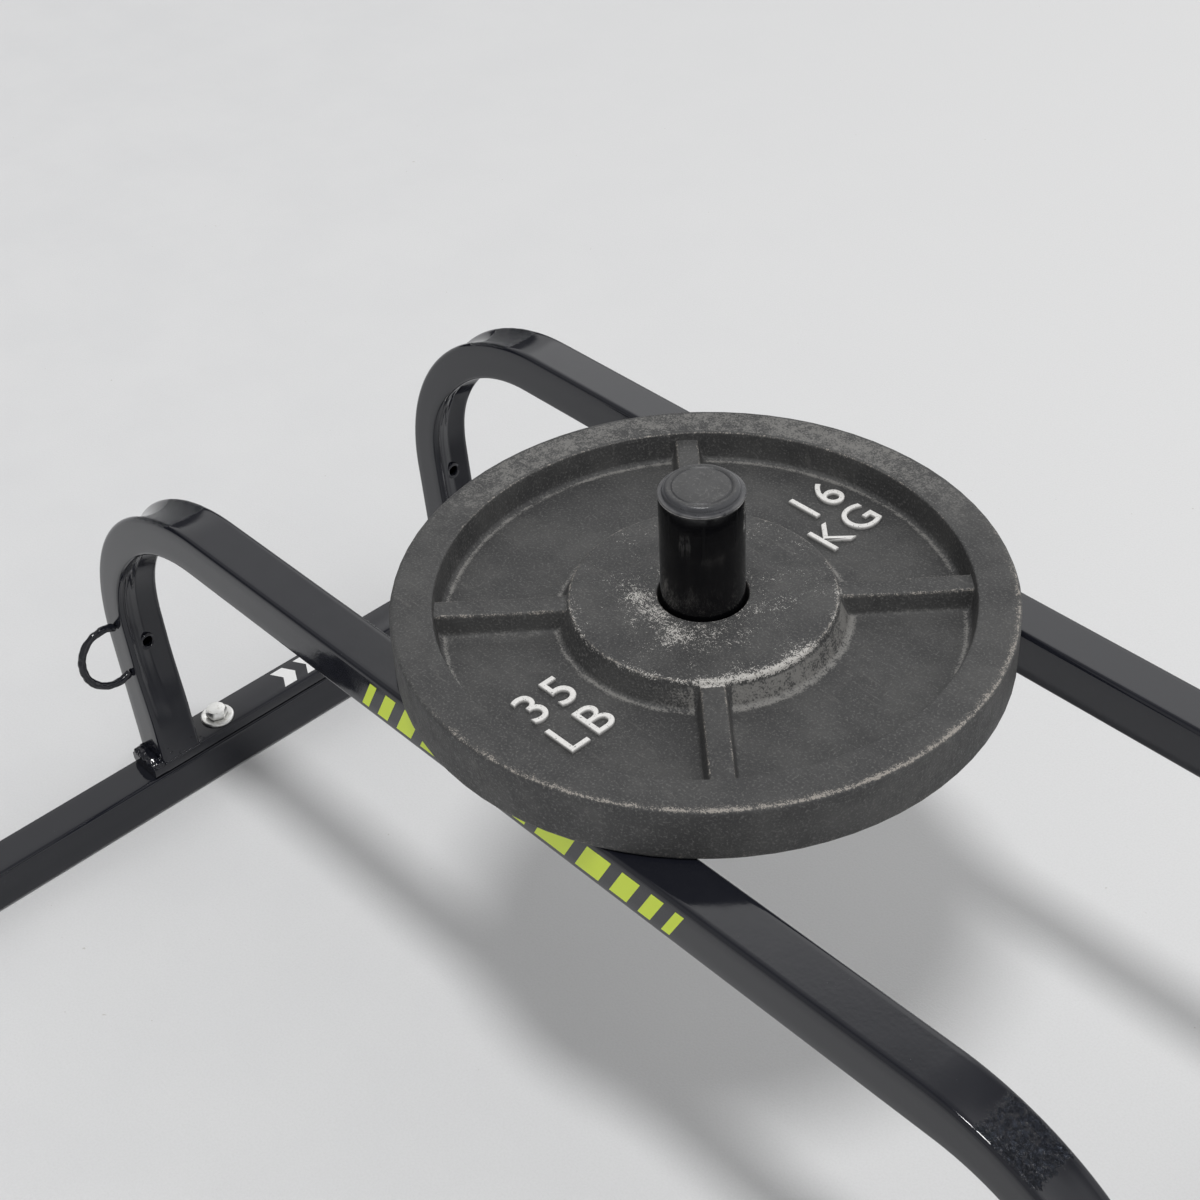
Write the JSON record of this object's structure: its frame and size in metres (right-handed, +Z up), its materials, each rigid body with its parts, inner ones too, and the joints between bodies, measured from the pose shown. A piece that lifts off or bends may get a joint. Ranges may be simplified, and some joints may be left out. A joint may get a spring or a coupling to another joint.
{
  "type": "weight sled",
  "caption": "Two-ski weight sled with bent square-tube hoops, a loading horn and a cast iron plate that lifts off.",
  "frame": {"origin": "on the floor, under the horn's axis, in the middle of the sled", "axes": "+Z up along the horn; -Y is the way the sled is pulled, along the skis; +X is the sled's left"},
  "size_m": [0.885, 0.7988, 0.4151],
  "materials": {
    "frame_black_gloss": "gloss black powder coat",
    "horn_black_gloss": "gloss black paint",
    "plug_black_plastic": "satin black plastic",
    "zinc_plate": "bright zinc",
    "plate_cast_iron": "worn black cast iron"
  },
  "bodies": {
    "frame": {"front_hoop": "frame_black_gloss", "rear_hoop": "frame_black_gloss", "horn_crossmember": "frame_black_gloss", "horn_tube": "horn_black_gloss", "horn_cap": "plug_black_plastic", "right_ski": "frame_black_gloss", "right_base_bar": "frame_black_gloss", "right_tow_ring": "frame_black_gloss", "right_ski_front_plug": "plug_black_plastic", "right_front_bolt": "zinc_plate", "right_front_washer": "zinc_plate", "right_front_weld_nut": "zinc_plate", "right_ski_rear_plug": "plug_black_plastic", "right_rear_bolt": "zinc_plate", "right_rear_washer": "zinc_plate", "right_rear_weld_nut": "zinc_plate", "left_ski": "frame_black_gloss", "left_base_bar": "frame_black_gloss", "left_tow_ring": "frame_black_gloss", "left_ski_front_plug": "plug_black_plastic", "left_front_bolt": "zinc_plate", "left_front_washer": "zinc_plate", "left_front_weld_nut": "zinc_plate", "left_ski_rear_plug": "plug_black_plastic", "left_rear_bolt": "zinc_plate", "left_rear_washer": "zinc_plate", "left_rear_weld_nut": "zinc_plate"},
    "plate": {"weight_plate": "plate_cast_iron"}
  },
  "joints": [
    {"name": "plate_lift", "type": "slide", "parent": "frame", "child": "plate", "axis": [0, 0, 1], "range_m": [0, 0.125]}
  ]
}
